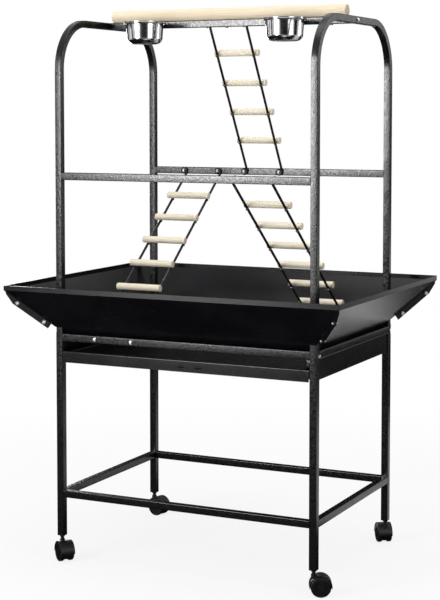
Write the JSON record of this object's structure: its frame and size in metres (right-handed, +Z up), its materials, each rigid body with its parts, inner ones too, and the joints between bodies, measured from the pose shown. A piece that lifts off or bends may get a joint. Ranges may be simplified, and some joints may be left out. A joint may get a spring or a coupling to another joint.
{
  "type": "parrot play stand",
  "caption": "Rolling bird play stand: square-tube base with a pull-out drawer, flared seed-guard tray, two tall hoops, a round perch, steel cups and rung ladders.",
  "frame": {"origin": "on the floor under the middle of the frame, midway between the four legs", "axes": "+X to the right along the perch, +Y to the back, +Z up; the drawer opens towards -Y"},
  "size_m": [0.8216, 0.6406, 1.2825],
  "materials": {
    "powder_coat": "black powder coat with a fine hammered speckle, semi-gloss",
    "smooth_coat": "smooth black powder coat on sheet, satin",
    "polished_steel": "polished stainless steel",
    "zinc_steel": "bright zinc-plated steel",
    "pale_wood": "bare pale hardwood, sanded, fine straight grain",
    "black_rod": "black painted steel rod, semi-gloss",
    "black_nylon": "moulded black nylon, satin"
  },
  "bodies": {
    "root": {"caster_sockets": "black_nylon", "caster_stem_bl": "black_rod", "caster_stem_br": "black_rod", "caster_stem_fl": "black_rod", "caster_stem_fr": "black_rod", "cup_holder_bolts": "zinc_steel", "cup_holder_left": "polished_steel", "cup_holder_right": "polished_steel", "drawer_runner_left": "smooth_coat", "drawer_runner_right": "smooth_coat", "frame_bolts": "zinc_steel", "front_top_rail": "powder_coat", "hoop_left": "powder_coat", "hoop_right": "powder_coat", "ladder_bolts": "zinc_steel", "ladder_left_rods": "black_rod", "ladder_left_rungs": "pale_wood", "ladder_left_screws": "zinc_steel", "ladder_nuts": "zinc_steel", "ladder_right_rods": "black_rod", "ladder_right_rungs": "pale_wood", "ladder_right_screws": "zinc_steel", "ladder_upper_rods": "black_rod", "ladder_upper_rungs": "pale_wood", "ladder_upper_screws": "zinc_steel", "mid_rail_front": "powder_coat", "mid_rail_rear": "powder_coat", "perch": "pale_wood", "perch_rail": "powder_coat", "perch_screws": "zinc_steel", "rear_top_rail": "powder_coat", "seed_guard_bolts": "zinc_steel", "seed_guard_front": "smooth_coat", "seed_guard_left": "smooth_coat", "seed_guard_nuts": "zinc_steel", "seed_guard_rear": "smooth_coat", "seed_guard_right": "smooth_coat", "side_frame_left": "powder_coat", "side_frame_right": "powder_coat", "stretcher_front": "powder_coat", "stretcher_left": "powder_coat", "stretcher_rear": "powder_coat", "stretcher_right": "powder_coat", "tray_grate": "black_rod"},
    "drawer": {"drawer_tray": "smooth_coat"},
    "cup_left": {"cup_left": "polished_steel"},
    "cup_right": {"cup_right": "polished_steel"},
    "caster_fl": {"caster_hood_fl": "black_nylon"},
    "wheels_fl": {"caster_axle_fl": "zinc_steel", "caster_wheels_fl": "black_nylon"},
    "caster_fr": {"caster_hood_fr": "black_nylon"},
    "wheels_fr": {"caster_axle_fr": "zinc_steel", "caster_wheels_fr": "black_nylon"},
    "caster_bl": {"caster_hood_bl": "black_nylon"},
    "wheels_bl": {"caster_axle_bl": "zinc_steel", "caster_wheels_bl": "black_nylon"},
    "caster_br": {"caster_hood_br": "black_nylon"},
    "wheels_br": {"caster_axle_br": "zinc_steel", "caster_wheels_br": "black_nylon"}
  },
  "joints": [
    {"name": "drawer_slide", "type": "slide", "parent": "root", "child": "drawer", "axis": [0, -1, 0], "range_m": [0, 0.35]},
    {"name": "cup_lift_left", "type": "slide", "parent": "root", "child": "cup_left", "axis": [0, 0, 1], "range_m": [0, 0.08]},
    {"name": "cup_lift_right", "type": "slide", "parent": "root", "child": "cup_right", "axis": [0, 0, 1], "range_m": [0, 0.08]},
    {"name": "swivel_fl", "type": "hinge", "parent": "root", "child": "caster_fl", "pos_m": [-0.3165, -0.226, 0.05], "axis": [0, 0, 1], "continuous": true},
    {"name": "roll_fl", "type": "hinge", "parent": "caster_fl", "child": "wheels_fl", "pos_m": [-0.30468, -0.23523, 0.0225], "axis": [0.6157, 0.788, 0], "continuous": true},
    {"name": "swivel_fr", "type": "hinge", "parent": "root", "child": "caster_fr", "pos_m": [0.3165, -0.226, 0.05], "axis": [0, 0, 1], "continuous": true},
    {"name": "roll_fr", "type": "hinge", "parent": "caster_fr", "child": "wheels_fr", "pos_m": [0.32998, -0.21942, 0.0225], "axis": [-0.4384, 0.8988, 0], "continuous": true},
    {"name": "swivel_bl", "type": "hinge", "parent": "root", "child": "caster_bl", "pos_m": [-0.3165, 0.226, 0.05], "axis": [0, 0, 1], "continuous": true},
    {"name": "roll_bl", "type": "hinge", "parent": "caster_bl", "child": "wheels_bl", "pos_m": [-0.30178, 0.22314, 0.0225], "axis": [0.1908, 0.9816, 0], "continuous": true},
    {"name": "swivel_br", "type": "hinge", "parent": "root", "child": "caster_br", "pos_m": [0.3165, 0.226, 0.05], "axis": [0, 0, 1], "continuous": true},
    {"name": "roll_br", "type": "hinge", "parent": "caster_br", "child": "wheels_br", "pos_m": [0.3079, 0.23829, 0.0225], "axis": [-0.8192, -0.5736, 0], "continuous": true}
  ]
}
